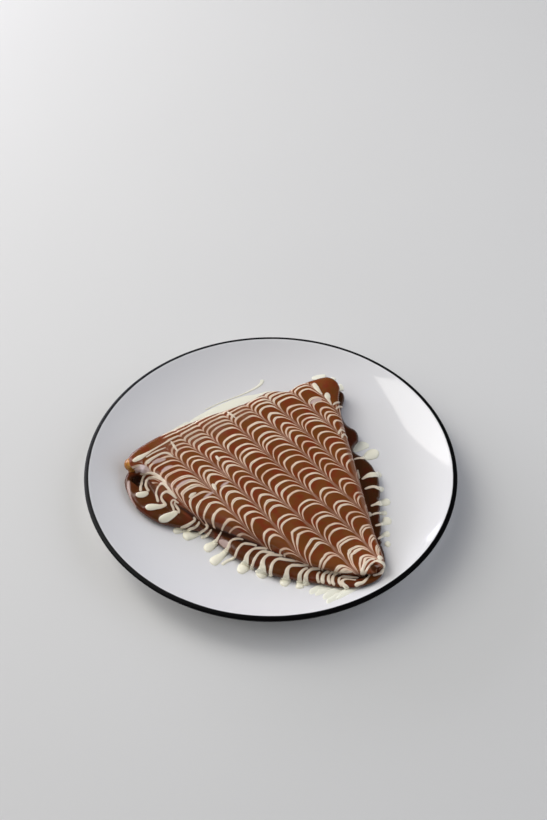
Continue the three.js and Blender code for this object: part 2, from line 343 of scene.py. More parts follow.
def meshArrays(mesh):
    count = len(mesh.vertices)
    places = np.empty(count * 3)
    mesh.vertices.foreach_get("co", places)
    normals = np.empty(count * 3)
    mesh.vertices.foreach_get("normal", normals)
    return places.reshape(-1, 3) / mm, normals.reshape(-1, 3)


def setPlaces(mesh, places):
    mesh.vertices.foreach_set("co", (places * mm).ravel())
    mesh.update()


def fillCrease(bm):
    # One convex piece between each two stations.
    spots = np.array([station[:2] for station in skin["crease"]], float)
    headings = np.gradient(spots, axis=0)
    outwards = np.column_stack([headings[:, 1], -headings[:, 0]])
    outwards /= np.linalg.norm(outwards, axis=1)[:, None]
    corners = []
    topTuck, footTuck = skin["creaseTuck"]
    for station, spot, outward in zip(skin["crease"], spots, outwards):
        inside, foot = spot - skin["creaseRoot"] * outward, spot + station[3] * outward
        corners.append([(*inside, station[2] - topTuck), (*spot, station[2]), (*foot, skin["creaseFoot"]),
                        (*inside, skin["creaseFoot"] - footTuck)])
    for first, second in zip(corners, corners[1:]):
        verts = [bm.verts.new(Vector(corner) * mm) for corner in first + second]
        hull = bmesh.ops.convex_hull(bm, input=verts)
        spare = [item for item in hull["geom_interior"] + hull["geom_unused"]
                 if isinstance(item, bmesh.types.BMVert)]
        bmesh.ops.delete(bm, geom=spare, context="VERTS")


def jointSkin():
    # Both packets lie under one even skin, as the glaze was poured over them together.
    bm = bmesh.new()
    for node in ("crepe_lower_fold", "crepe_upper_fold"):
        bm.from_mesh(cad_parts[node].data)
    bmesh.ops.remove_doubles(bm, verts=bm.verts, dist=0.005 * mm)
    fillCrease(bm)
    place, radius = skin["nub"]
    nub = bmesh.ops.create_icosphere(bm, subdivisions=3, radius=radius * mm)
    bmesh.ops.translate(bm, verts=nub["verts"], vec=Vector(place) * mm)
    mesh = bpy.data.meshes.new("folds")
    bm.to_mesh(mesh)
    bm.free()
    piece = bpy.data.objects.new("folds", mesh)
    bpy.context.scene.collection.objects.link(piece)
    remesh = piece.modifiers.new("even skin", "REMESH")
    remesh.mode = "VOXEL"
    remesh.voxel_size = skin["voxel"] * mm
    baked = bpy.data.meshes.new_from_object(piece.evaluated_get(bpy.context.evaluated_depsgraph_get()))
    bpy.data.objects.remove(piece)
    bpy.data.meshes.remove(mesh)
    baked.name = "crepe"
    return baked


def relax(mesh, rounds):
    # Flat faces and steps melt away and the size stays: a push outwards follows each pull inwards.
    ends = np.empty(len(mesh.edges) * 2, dtype=np.int32)
    mesh.edges.foreach_get("vertices", ends)
    low, high = ends.reshape(-1, 2).T
    places = meshArrays(mesh)[0]
    count = len(places)
    neighbours = np.bincount(low, minlength=count) + np.bincount(high, minlength=count)
    for share in skin["relaxShares"] * rounds:
        for axis in range(3):
            column = places[:, axis]
            total = np.bincount(low, column[high], count) + np.bincount(high, column[low], count)
            places[:, axis] = column + share * (total / neighbours - column)
    setPlaces(mesh, places)


def smoothStep(values, start, end):
    share = np.clip((values - start) / (end - start), 0, 1)
    return share * share * (3 - 2 * share)


def openMouth(mesh):
    centre, radius, depth = skin["mouth"]
    rimWidth, rimHeight = skin["mouthRim"]
    places = meshArrays(mesh)[0]
    away = np.linalg.norm(places - np.array(centre), axis=1)
    push = depth * smoothStep(away, radius, skin["mouthFloor"] * radius)
    push -= rimHeight * np.exp(-((away - radius) / rimWidth) ** 2)
    setPlaces(mesh, places + np.array(skin["mouthHeading"]) * push[:, None])


skinMesh = jointSkin()
relax(skinMesh, skin["relaxing"])
openMouth(skinMesh)
print(" ", len(skinMesh.vertices), "vertices")

print("paths of the white chocolate")
# Each strand starts at its blunt end: its path as the camera sees it, in pixels of a picture 547 wide, and
# its widths in the same pixels.
frontStrands = [
    ([(173, 531.5), (178, 530.3), (184, 529)], [5, 6, 4.5]),
    ([(181, 528), (187.3, 525.7), (192.7, 522.3), (195.3, 519.7), (193.3, 517.3)], [3, 3, 2.4, 1.8]),
    ([(182, 531.7), (188.7, 529.7), (194.7, 527.7), (198.7, 524.3), (198.7, 521.7)], [4, 3, 2.6, 1.8]),
    ([(183, 537.5), (188, 535.5), (195, 535.5), (200, 532.5), (205.3, 529.7), (207.7, 527), (205.3, 524.3)],
     [7, 8, 6, 3.4, 2.6, 2.2, 2]),
    ([(200.7, 537.7), (206, 536.3), (209.3, 533), (211.3, 529.7)], [3, 2.8, 2.4, 1.6]),
    ([(204, 550), (209.5, 547.5), (214.5, 544), (217.5, 539), (219.5, 535), (221, 532)],
     [6, 7, 5.5, 3.5, 2, 1.4]),
    ([(211, 564), (216, 560), (221, 556.5), (225, 553), (227.5, 549), (229, 544.5), (230.5, 541),
      (233.5, 539), (238, 538.5), (243, 539.5)], [7, 7, 5, 4, 3, 2.2, 1.8, 1.4]),
    ([(221.7, 565), (227, 561), (232.3, 559.3), (235, 557), (236.3, 552.3), (238.3, 548.3), (241.7, 544.3),
      (245, 543.3), (251.7, 544.3), (256.3, 545.7)], [2.4, 2.2, 2.2, 1.6]),
    ([(238.5, 573), (242.5, 569.5), (246, 564), (246.3, 557.7), (247.7, 554.3), (250.3, 551),
      (253.7, 548.7), (258.3, 548), (263.7, 548.3), (267, 549)], [5, 8, 5.5, 3.5, 2.4, 2, 1.6]),
    ([(251.7, 570.3), (252.3, 565.7), (253.7, 561), (256.3, 556.3), (259.7, 552.3), (263.7, 551.3),
      (269, 552.3), (273.7, 553.3)], [2.6, 2.6, 2.4, 1.6]),
    ([(258.5, 577.5), (262, 574), (262.5, 567), (262.3, 561.7), (264.3, 557.7), (267.7, 555),
      (271.7, 554.3), (277, 555), (282.3, 555.7)], [7, 9, 4.5, 3, 2.4, 2, 1.6]),
    ([(271.7, 576.3), (270.3, 573), (271, 568.3), (272.3, 563.7), (275, 560.3), (279, 558.7),
      (283.7, 559.3), (289.7, 560.3), (295, 561)], [3, 3, 2.6, 2.2, 1.4]),
    ([(282, 586), (286, 581.5), (286.3, 576), (287, 570), (289, 566.7), (292.3, 565.3), (297.7, 565.3),
      (301.7, 565.7), (308.3, 565.3)], [6, 7, 4, 3, 2.4, 2, 1.6]),
    ([(300, 589), (299.7, 583), (299.3, 575.3), (301.7, 571.3), (305, 568.7), (307.7, 568)],
     [5.5, 4, 3, 2]),
    ([(307, 586), (305.7, 580), (305.7, 575.3), (308.3, 571.3), (311.7, 569), (316.3, 568.7),
      (319.7, 569.3)], [5.5, 4, 3, 2.4, 1.6]),
    ([(319, 582.7), (317.7, 580), (317.3, 576.7), (318, 573.3), (320, 572)], [2.4, 2.4, 1.8]),
    ([(323, 583.3), (322.3, 579.3), (323, 575.3), (325, 572.7), (329, 571.7)], [3.4, 3, 1.8]),
    ([(330.3, 584), (328.3, 580.7), (328.3, 576.7), (330.3, 573.3), (333, 571.7)], [2.2, 2.2, 1.6]),
    ([(334.3, 585.3), (332.3, 581.3), (332.7, 577.3), (334.7, 573.7), (338.3, 572.3), (343, 572.7),
      (352.3, 571.7)], [2.6, 2.4, 2, 1.4]),
    ([(341.7, 586), (339, 582.7), (338.7, 579.3), (340.3, 577), (343, 576), (347.7, 576.7), (358.3, 577.3)],
     [2, 2, 1.4]),
    ([(349, 589.3), (343.7, 585.3), (341.7, 582), (343, 579.7), (347, 578.7), (351.7, 579.3), (355.7, 580)],
     [4.5, 3, 2.2, 1.8]),
    ([(355.7, 585.3), (358.3, 583.3), (363, 582.7), (365.7, 580), (368.3, 576.7), (369.7, 574.7)],
     [4.5, 3.4, 2.4, 1.4]),
]
sideStrands = [
    ([(379, 452), (374, 453.5), (369, 456), (364, 458.2), (358, 458), (354, 459.5)], [5, 9, 8, 4, 2.4, 2]),
    ([(382, 476), (377, 474.5), (372, 474.5), (367, 476), (362, 479.2)], [3, 6, 6, 3.5, 1.4]),
    ([(384, 490.5), (380, 489), (375, 486.5), (370, 487), (365, 489)], [4.5, 4.5, 3, 2.6, 2]),
    ([(390.5, 501.5), (385, 502.5), (380, 503.3), (376, 504), (371, 506)], [5, 6.5, 5, 2.4, 1.8]),
    ([(387.5, 513), (384, 513.5), (380, 513), (376, 513.2), (372, 514.8)], [4, 4, 2.2, 2.2, 1.8]),
    ([(391, 519), (387, 521.5), (383.5, 523.7), (380, 524.5), (375.5, 525.7)], [5, 8, 4, 2, 1.8]),
    ([(390.5, 534), (387, 534.5), (384, 534.5), (381, 537), (378, 539)], [5, 5.5, 3, 2, 1.6]),
    ([(391, 544.5), (387.5, 544.5), (384.5, 545)], [5, 6, 3]),
]
lobeStrands = [
    ([(137, 494.5), (142, 494.5), (147, 492.5)], [5.5, 6.5, 5.5]),
    ([(140.5, 491), (140.7, 486.3), (141.3, 481.7), (142.7, 477.7), (145.3, 474.3), (149.3, 472.7),
      (153.3, 473.3), (157.3, 475), (160.7, 477.7), (166, 483)], [2.4, 2.2, 2.2, 1.8]),
    ([(148.7, 491), (146.7, 488.3), (145.7, 485), (146, 481.7), (147.7, 479), (150, 477.3), (154, 477),
      (158, 478), (162, 480), (164.7, 482.3)], [2.6, 2.2, 2, 1.6]),
    ([(147, 507), (153, 506), (160, 506.5), (165, 505.5)], [7.5, 7.5, 5, 3]),
    ([(158, 502), (156.3, 495), (156.3, 491.7), (157.7, 487.7), (160, 484.3), (162.7, 483.3), (165.3, 485),
      (168.7, 489), (175.3, 496.3)], [2.2, 2.2, 2.2, 1.6]),
    ([(166, 505.7), (165.3, 503.7), (162.7, 501), (161.3, 498.3), (161.3, 495.7), (163.3, 493),
      (166.7, 491.3), (170, 493), (173.3, 495.7), (176.7, 498.3)], [2.6, 2.2, 2.2, 1.6]),
    ([(160, 520), (166, 518), (172, 514.5), (177, 512.5)], [6, 8, 7, 4]),
    ([(174, 511), (173.3, 507.7), (171.3, 504.3), (171.3, 501.7), (173, 499.7), (175.3, 500.3), (178, 503)],
     [2.2, 2, 1.6]),
    ([(179, 513), (179, 510.3), (176.7, 507), (174.7, 504.3), (174.7, 502.3), (176.7, 501.7), (178.7, 503)],
     [2.2, 2, 1.6]),
]
cornerStrands = [
    ([(313.5, 383.5), (316, 387), (319, 391), (322, 394.3)], [4, 4.6, 3, 1.4]),
    ([(327, 393.5), (327.5, 396.5), (328.5, 399.5), (330, 402), (331.3, 405)], [5.5, 5.5, 3, 2, 1.4]),
    ([(133.5, 461), (137, 459), (141, 457), (147, 453.5), (155, 448.7), (163, 444), (171, 439.5),
      (179, 435.5)], [4, 5.2, 3.6, 2, 1.8, 1.7, 1.6, 1.5, 1.2]),
    ([(146, 457.5), (152, 453.5), (159, 450), (166, 447.5)], [1.3, 1.7, 1.6, 1.2]),
    ([(338.5, 434), (339.5, 430.7), (342, 429.5), (344.5, 431.5)], [1.8, 2.2, 1.8]),
    ([(342, 438), (342.7, 434.5), (345.3, 434.5), (347.3, 438.5)], [1.8, 2.2, 1.8]),
    ([(357.5, 470), (358.3, 474), (359.3, 478.5)], [1.6, 1.8, 1.4]),
    ([(369, 512.5), (370.3, 516)], [3.4, 3.4]),
    ([(379, 556), (381, 559)], [4.6, 4.6]),
    ([(333, 405), (336, 402.5), (340, 402.3)], [1.6, 2, 1.6]),
    ([(336, 409), (339, 406.3), (342.5, 407)], [1.6, 2, 1.6]),
    ([(171, 441.5), (174, 446), (177.5, 451.5)], [1.6, 2.6, 1.4]),
    ([(227, 411.5), (231, 414.5), (235.5, 418)], [1.4, 2.4, 1.4]),
    ([(216, 456), (217.5, 458), (219.5, 461)], [2.4, 3, 1.4]),
    ([(212.5, 484), (214, 486.5), (216, 490)], [3, 3.4, 1.6]),
    ([(189.5, 497.5), (192, 494.5), (196, 492.7)], [2.2, 3.2, 1.4]),
    ([(147, 463.5), (150, 460), (155, 457), (160, 454), (165, 452.6), (169, 453.8), (173, 456.5)],
     [3, 2.8, 2.4, 2.2, 2.2, 2, 1.4]),
    ([(362, 575), (362, 570.8), (364.2, 565.8), (367, 561.7), (370.8, 559), (374.6, 559.2)], [3, 2.6, 2.2]),
    ([(363.8, 575), (365.8, 571.7), (368.3, 567.5), (371.2, 563.8), (374.6, 561.2), (378.3, 560.8),
      (381.7, 562), (384.2, 565), (385, 568.3), (383.3, 571.7), (380.4, 573), (376.2, 575), (373.3, 575.4)],
     [2, 2, 2, 2.4, 4, 5, 4, 2.4, 2]),
]
backStrands = [
    ([(189, 426), (204, 422.5), (218, 419), (238, 411.5), (253, 405.5), (264.5, 398.5), (271, 395),
      (276, 397)], [9, 17, 23, 25, 26, 24, 15, 12]),
    ([(148, 453), (154.7, 448.3), (162.7, 442.8), (172.7, 437.3), (184.7, 431.3), (195, 426.3)],
     [9, 17, 18, 17, 17, 16]),
    ([(205, 410), (214, 405.5), (222, 402), (240, 395.5), (250, 391), (258, 386.5), (262, 383),
      (262.5, 379.5)], [0.9, 1, 1, 1, 1.2, 1.4, 2, 3]),
    ([(311.5, 379), (318, 376.5), (326, 375.5)], [4, 6, 4]),
    ([(331, 377.5), (336, 379.5)], [2.4, 2.4]),
]
smears = [
    ([(309.5, 594), (316, 591.5), (325, 588), (335, 583)], [5, 7.5, 8, 6]),
    ([(318, 592.5), (328, 588.5), (338, 583.5)], [3.5, 6, 6]),
    ([(315, 595.5), (323, 592.7), (333, 589.3), (343, 586)], [3, 5.5, 6, 5]),
    ([(323.5, 599.5), (331, 595.5), (341, 590.5), (350, 586)], [5, 8, 7, 6]),
    ([(327, 603.5), (336, 599), (347, 593), (357, 587)], [5, 6.5, 6, 4]),
    ([(337, 599.5), (347, 594), (358, 588)], [3, 5, 4]),
    ([(344, 596), (355, 590), (363, 585)], [2, 3.4, 3]),
    ([(350, 450.5), (357, 447), (364, 445), (369, 447)], [6, 8, 8, 4]),
    ([(342.5, 391), (341.3, 387.5), (339.3, 384)], [4, 6.5, 5]),
]
# Painted sheen: pale patches where the gloss would mirror the light.
paintedSheens = [
    ([(136, 471), (142, 468.7), (148.5, 471)], [5, 8.5, 5]),
    ([(153, 463), (158, 460.5), (165, 459)], [3, 5, 3]),
    ([(162, 471.5), (167, 467.5), (172, 466)], [2.5, 4, 2.5]),
    ([(128.5, 481), (128.3, 490), (131, 500), (136, 507)], [2.4, 3, 2.6, 2]),
    ([(219.5, 541), (224, 543.5), (229.5, 547)], [4, 7, 5]),
    ([(311, 403.5), (315, 400), (321, 399.5)], [3, 5, 4]),
    ([(177, 487), (183, 482.5), (190, 479.5)], [2, 3.6, 2.2]),
    ([(204, 498), (208.5, 494.5), (213, 492)], [1.8, 3, 1.8]),
    ([(221, 487), (224.5, 484), (228.5, 482)], [1.8, 3, 1.8]),
]
# Painted shade, pressed in a little too: the crease in front of the upper packet, the gaps between the
# flaps.
shadedHollows = [
    ([(175, 505), (186, 511), (194.5, 518), (202, 522.5), (210, 527), (222.5, 533), (233.5, 537),
      (244.5, 541), (257, 545.5), (270, 551.5), (283, 557), (300, 563)],
     [2, 3, 4, 5, 5, 4.5, 4, 4, 3.5, 3, 3, 2.5]),
    ([(300, 563), (319, 569.3), (334, 574), (350, 578), (361, 577.5), (369, 574.5)],
     [2.5, 2.5, 2.5, 2.5, 3, 2]),
    ([(131.5, 479), (136, 480), (142, 486)], [8, 11, 7]),
    ([(379.5, 540), (382, 540)], [2.5, 2.5]),
    ([(381, 544.5), (383.5, 544.5)], [2.5, 2.5]),
]
strand = {
    "ring": 12,
    "spacing": 0.7,  # from one ring to the next
    "pictureStep": 0.4,  # pixels
    "step": 0.3,
    "sink": 0.9,
    "pixel": 0.8,  # width of a pixel on the food
    "spread": 1.4,  # drips are wider where they have run out on the plate
    "climb": 5.0,  # a drip reaches this far up the side of the crepe
    "climbWidth": 0.65,  # shares of its width and height that are left at the top
    "climbHeight": 0.1,
    "stopShort": 0.3,  # its foot ends this far in front of the fold
    "endRound": 0.3,  # its ends are rounded over this length at least
    "leastRise": 0.3,
    "evening": (7, 4),  # rounds by which its path and its headings are evened
    "fieldReach": 4.0,  # farther than this from every strand counts as this far
}


def easedPath(points, step):
    # Corners are cut three times, and the line is then stepped evenly.
    line = np.array(points, float)
    for _ in range(3):
        cut = np.stack([0.75 * line[:-1] + 0.25 * line[1:], 0.25 * line[:-1] + 0.75 * line[1:]], axis=1)
        line = np.vstack([line[:1], cut.reshape(-1, 2), line[-1:]])
    run = np.concatenate([[0], np.cumsum(np.hypot(*np.diff(line, axis=0).T))])
    stations = np.linspace(0, run[-1], max(3, int(run[-1] / step)))
    return np.stack([np.interp(stations, run, line[:, i]) for i in (0, 1)], axis=1)


def seenPoint(x, y, tree):
    # What the camera sees at a place in the picture. The last number tells the crepe from the plate.
    tilt = math.radians(view["downwards"])
    broad, high = view["picture"]
    focal = view["lens"] / view["sensor"] * high
    right, down = (x - broad / 2) / focal, (y - high / 2) / focal
    ray = Vector((right, math.cos(tilt) - down * math.sin(tilt), -math.sin(tilt) - down * math.cos(tilt)))
    eye = Vector(view["place"])
    hit = tree.ray_cast(eye * mm, ray.normalized())[0] if tree else None
    if hit:
        return (*(hit / mm), 1)
    height = plate["wellHeight"]
    for _ in range(20):
        place = eye + ray * ((eye.z - height) / -ray.z)
        height = float(plateTop(place.x, place.y))
    return (place.x, place.y, height, 0)


def runAlong(line):
    return np.concatenate([[0], np.cumsum(np.linalg.norm(np.diff(line[:, :3], axis=0), axis=1))])


def seenPath(points, widths, tree):
    plan = easedPath(points, strand["pictureStep"])
    # Columns: place, whether it lies on the crepe, heading over the ground.
    line = np.column_stack([[seenPoint(x, y, tree) for x, y in plan], np.gradient(plan, axis=0) * [1, -1]])
    run = runAlong(line)
    stations = np.linspace(0, run[-1], max(8, int(run[-1] / strand["step"])))
    planShare = np.interp(stations, run, np.linspace(0, 1, len(plan)))
    line = np.stack([np.interp(stations, run, column) for column in line.T], axis=1)
    wide = strand["pixel"] * np.interp(planShare, np.linspace(0, 1, len(widths)), widths)
    # Both ends are round.
    for end in (stations, run[-1] - stations):
        inside = np.clip(end / np.maximum(wide / 2, strand["endRound"]), 0, 1)
        wide = wide * np.sqrt(1 - (1 - inside) ** 2)
    return line, wide


skinTree = BVHTree.FromPolygons([v.co for v in skinMesh.vertices], [p.vertices for p in skinMesh.polygons])
paintedStrands = frontStrands + sideStrands + lobeStrands + cornerStrands
paintedPaths = [seenPath(*each, skinTree) for each in paintedStrands]


print("glaze")
# White lines are piped across the wet glaze, and strokes of a skewer then pull them towards the tip.
glaze = {
    "turn": 34.0,  # degrees from +X to the direction across the strokes
    "middle": (-5.0, -10.0),
    # Where each stroke runs, in millimetres across, at these places along the crepe.
    "strokeRows": [-60, -30, 0, 30, 60, 90, 110],
    "strokes": [
        [-88, -68.5, -46.3, -31.4, -14.9, 7.4, 26.5, 43.5, 62.5, 77.9, 96],
        [-85, -65.3, -42.4, -26.4, -10.7, 10.7, 31.3, 46.2, 65.2, 79.9, 97],
        [-82, -63, -39, -22.7, -7.6, 12.8, 34.3, 48.6, 67.3, 79, 98],
        [-80, -61.5, -38.3, -20.8, -3.8, 16.8, 34.8, 50.2, 68, 79, 98],
        [-79, -60.5, -38.2, -21, -0.4, 19.7, 37, 51, 69, 80, 98],
        [-79, -60, -38, -21.6, 2.3, 22.6, 39.7, 52, 70, 82, 98],
        [-79, -60, -38, -22, 2.4, 21.9, 40, 53, 71, 84, 98],
    ],
    # How far the lines have run down towards the tip, between each two strokes from the second on.
    "driftRows": [-60, -50, -42, -30, -22, -12, 0, 13, 25, 38, 54, 67, 80, 95],
    "drift": [
        [3, 2.5, 2.5, 0.5, 0, -2, -0.5, 0],
        [4, 2.4, 2.7, 0.5, -0.5, -3, -1, -1.5],
        [2.5, 2.5, 2.2, 1.8, 0.7, -0.8, 1.5, 3],
        [2.5, 1, 1.5, 0.5, 0, -1, -0.5, 2],
        [3, 1.5, 2, 1, 0, -0.5, -0.5, 2.5],
        [6.5, 3.8, 3.6, 2.2, 0, -0.8, -0.3, 2],
        [4.6, 2.2, 1.9, 1.3, -0.8, 0.3, -0.5, 3.5],
        [2.5, 4, 2.9, 2, 0.5, -0.4, -0.5, 2],
        [4, 6, 4.7, 2, 0.8, -0.2, 0, 0],
        [2, 6.5, 5.4, 3, 0.4, 0.2, 0, 0],
        [6, 4, 3.3, 0.5, -0.3, 0, 0, 0],
        [4, 2, 5, 1.9, 0.8, 0, 0, 0],
        [3, 0, 2, 3, 1.5, 0, 0, 0],
        [3, 0, 0, 1.4, -2, 0, 0, 0],
    ],
    "wallTop": 26.0,  # down the front walls, this height and a share of the drop below it count as forward
    "wallShare": 0.95,
    "wallFacing": (-0.3, 0.1),  # a wall's normal leans forward this much
    "frontEdge": (12, -62, 0.63),  # the top's front edge: along and across at one point, and its slope
    "sagReach": 20.0,  # lines sag towards the tip this near to it
    "sagShare": 0.5,
    "sagStart": (-25, 0),
    "pull": 12.5,  # how far the skewer drags a line, and how wide its wake is
    "wake": 2.4,
    "pullStart": (-70, -34),  # the skewer sinks in between these
    "firstLine": -80,
    "lineGaps": [4, 4, 4, 4, 4, 4, 5, 7, 5, 8, 5, 4, 7, 7, 7, 7, 7, 6, 6, 11, 5, 11, 4, 8, 5, 9, 2.6, 8.4,
                 2.6, 6.4, 2.5, 6.5, 6, 7],
    # No lines here: ranges of the stroke's number and of the place along the crepe.
    "bareCorners": [((1.02, 0.96), (-40, -34)), ((9.03, 9.12), (-23, -30)), ((2.5, 2.1), (-57, -63))],
    "grooveDepth": 0.25,
    "grooveWidth": 1.2,
    "lineHeight": 0.14,
    "lineWidth": 0.9,
    "lineStart": 3.0,  # a line stands up fully this far from a stroke
    "pouredHeight": 0.35,
    "pouredEdge": (0.3, -0.7),
    # As the camera sees them: place in the picture, radius in millimetres.
    "thickSpots": [((178, 480), 18), ((198, 486), 12), ((317, 400), 7)],  # broader lines
    "blurSheenSpots": [((168, 449), 13), ((192, 437), 13), ((216, 425), 13), ((243, 413), 10)],  # lines blurred and painted paler, as sheen
    "blurSheenSpotShare": 0.5,
    "spotFade": 1.6,  # slope at a spot's edge
    "sideFacing": (0.15, 0.45),  # the right side's lines are blurred and painted paler, as sheen, where its normal leans out this much,
    "sideStart": (45, 35),  # from here on towards the tip
    "sheenEdge": (0.4, -0.6),
    "sheenBroad": (2.9, 3.3),  # half widths at which a painted sheen turns bright
    "packetBlend": 0.6,  # the packets' tones blend this near to where they meet
    # Chocolate is darker where less light reached it: on the lower packet, its right flaps, in hollows.
    "toneLower": 0.56,
    "toneFlaps": 0.29,
    "flapStart": (62, 65),
    "flapSlant": 0.17,
    "deepShade": 0.72,
    "deepDepth": 0.6,
    "deepEdge": (1.0, -0.8),
    "mouthReach": 7.5,
    "mouthShade": 0.75,
    "mouthShadeReach": 4.5,
    "nubEdge": (1.3, 0.7),
}


def tableAt(values, rows, table):
    # One column of the table for each value, between its rows.
    return np.stack([np.interp(values, rows, column) for column in np.transpose(table)])


def glazePlan(places, normals):
    # The lines run straight down the front walls, so a lower point there counts as further forward.
    turn = math.radians(glaze["turn"])
    facing = smoothStep(-normals[:, 1], *glaze["wallFacing"])
    forward = glaze["wallShare"] * (glaze["wallTop"] - places[:, 2]) * facing
    x = places[:, 0] - glaze["middle"][0]
    y = places[:, 1] - forward - glaze["middle"][1]
    across = math.cos(turn) * x + math.sin(turn) * y
    along = math.sin(turn) * x - math.cos(turn) * y
    strokes = tableAt(along, glaze["strokeRows"], glaze["strokes"])
    each = np.arange(len(places))
    below = np.clip((strokes <= across).sum(axis=0) - 1, 0, len(strokes) - 2)
    widths = strokes[below + 1, each] - strokes[below, each]
    index = below + np.clip((across - strokes[below, each]) / widths, 0, 1)
    drift = tableAt(along, glaze["driftRows"], glaze["drift"])
    column = np.clip(index - 1.5, 0, len(drift) - 1.001)
    low = column.astype(int)
    moved = drift[low, each] + (column - low) * (drift[low + 1, each] - drift[low, each])
    edgeAlong, edgeAcross, slope = glaze["frontEdge"]
    toEdge = across - (slope * (along - edgeAlong) + edgeAcross)
    sag = glaze["sagShare"] * np.maximum(0, glaze["sagReach"] - toEdge)
    sag *= smoothStep(along, *glaze["sagStart"])
    return index, along - moved - sag, widths


def lineStations():
    return glaze["firstLine"] + np.concatenate([[0], np.cumsum(glaze["lineGaps"])]).astype(float)


def lineDistance(index, along, widths):
    # Distance in millimetres to the nearest stroke, and along the crepe to the nearest white line.
    away = np.abs(index - np.round(index)) * widths
    begin, full = glaze["pullStart"]
    pull = glaze["pull"] * np.clip((along - begin) / (full - begin), 0, 1)
    crown = along - pull * np.exp(-away / glaze["wake"])
    return away, np.min([np.abs(crown - station) for station in lineStations()], axis=0)


def setAttribute(mesh, name, *columns):
    attribute = mesh.attributes.new(name, "FLOAT_VECTOR", "POINT")
    attribute.data.foreach_set("vector", np.stack(columns, axis=1).astype(np.float32).ravel())


def spot(places, centre, radius):
    away = np.linalg.norm(places - np.array(centre), axis=1) / radius
    return np.clip(glaze["spotFade"] * (1 - away), 0, 1)


def seenSpots(places, spots):
    centres = [(seenPoint(*place, skinTree)[:3], radius) for place, radius in spots]
    return np.max([spot(places, centre, radius) for centre, radius in centres], axis=0)


def upperShare(places):
    # One on the upper packet, nought on the lower one.
    depsgraph = bpy.context.evaluated_depsgraph_get()
    nodes = [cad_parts[node] for node in ("crepe_upper_fold", "crepe_lower_fold")]
    upperTree, lowerTree = [BVHTree.FromObject(node, depsgraph) for node in nodes]
    gap = [lowerTree.find_nearest(place)[3] - upperTree.find_nearest(place)[3] for place in places * mm]
    return smoothStep(np.array(gap) / mm, -glaze["packetBlend"], glaze["packetBlend"])


def strandField(places, paths):
    # Distance to the outline of the nearest strand, negative inside it, and half the strand's width there.
    reach = strand["fieldReach"]
    edge = np.full(len(places), reach)
    half = np.zeros(len(places))
    for line, wide in paths:
        low, high = line[:, :3].min(axis=0) - reach - 1, line[:, :3].max(axis=0) + reach + 1
        near = np.nonzero(((places > low) & (places < high)).all(axis=1))[0]
        # In blocks, so that the table of distances stays small.
        for block in np.array_split(near, len(near) // 2000 + 1):
            if not len(block):
                continue
            away = np.linalg.norm(places[block][:, None, :] - line[None, :, :3], axis=2) - wide[None, :] / 2
            best = away.argmin(axis=1)
            value = away[np.arange(len(block)), best]
            closer = value < edge[block]
            edge[block] = np.where(closer, value, edge[block])
            half[block] = np.where(closer, wide[best] / 2, half[block])
    return edge, half


def addCrepe():
    places, normals = meshArrays(skinMesh)
    onTop = upperShare(places)
    index, along, widths = glazePlan(places, normals)
    away, nearest = lineDistance(index, along, widths)
    edge, half = strandField(places, paintedPaths)
    sheen, sheenHalf = strandField(places, [seenPath(*each, skinTree) for each in paintedSheens])
    hollowShadeField = strandField(places, [seenPath(*each, skinTree) for each in shadedHollows])[0]
    hollowShade = smoothStep(hollowShadeField, *glaze["deepEdge"])
    mouth = skin["mouth"][0]

    flaps = (1 - onTop) * smoothStep(places[:, 0] + glaze["flapSlant"] * places[:, 1], *glaze["flapStart"])
    # Painted shade: the lower packet, its right flaps, the hollows and the roll's mouth are darkened.
    tone = 1 - (1 - onTop) * (1 - glaze["toneLower"])
    tone -= flaps * (glaze["toneLower"] - glaze["toneFlaps"])
    tone *= 1 - glaze["deepShade"] * hollowShade
    tone *= 1 - glaze["mouthShade"] * spot(places, mouth, glaze["mouthShadeReach"])

    bare = np.maximum(1 - onTop, np.clip(2 * spot(places, mouth, glaze["mouthReach"]), 0, 1))
    for strokeRange, alongRange in glaze["bareCorners"]:
        bare = np.maximum(bare, smoothStep(index, *strokeRange) * smoothStep(along, *alongRange))

    up = np.clip(normals[:, 2] * 2, 0, 1) * (1 - bare)
    groove = glaze["grooveDepth"] * np.exp(-(away / glaze["grooveWidth"]) ** 2)
    ridge = glaze["lineHeight"] * np.exp(-(nearest / glaze["lineWidth"]) ** 2)
    ridge *= np.clip(away / glaze["lineStart"], 0, 1)
    poured = glaze["pouredHeight"] * smoothStep(edge, *glaze["pouredEdge"])
    places = places + normals * ((ridge - groove) * up + poured - glaze["deepDepth"] * hollowShade)[:, None]
    setPlaces(skinMesh, places)

    nubPlace, nubRadius = skin["nub"]
    fromNub = np.linalg.norm(places - np.array(nubPlace), axis=1) - nubRadius
    # Painted sheen with blurred lines: on the right side where it faces out, and in spots at the back-left.
    side = onTop * smoothStep(normals[:, 0], *glaze["sideFacing"])
    side *= smoothStep(places[:, 1], *glaze["sideStart"])
    side = np.maximum(side, glaze["blurSheenSpotShare"] * seenSpots(places, glaze["blurSheenSpots"]))
    setAttribute(skinMesh, "glazePlan", index, along, widths)
    setAttribute(skinMesh, "glazeFinish", bare, seenSpots(places, glaze["thickSpots"]),
                 smoothStep(fromNub, *glaze["nubEdge"]))
    setAttribute(skinMesh, "glazePouredAndShade", edge, half, tone)
    setAttribute(skinMesh, "glazeSheen", side, smoothStep(sheen, *glaze["sheenEdge"]),
                 smoothStep(sheenHalf, *glaze["sheenBroad"]))
    addPiece("crepe", skinMesh, featheredGlaze(), ["crepe_upper_fold", "crepe_lower_fold"])


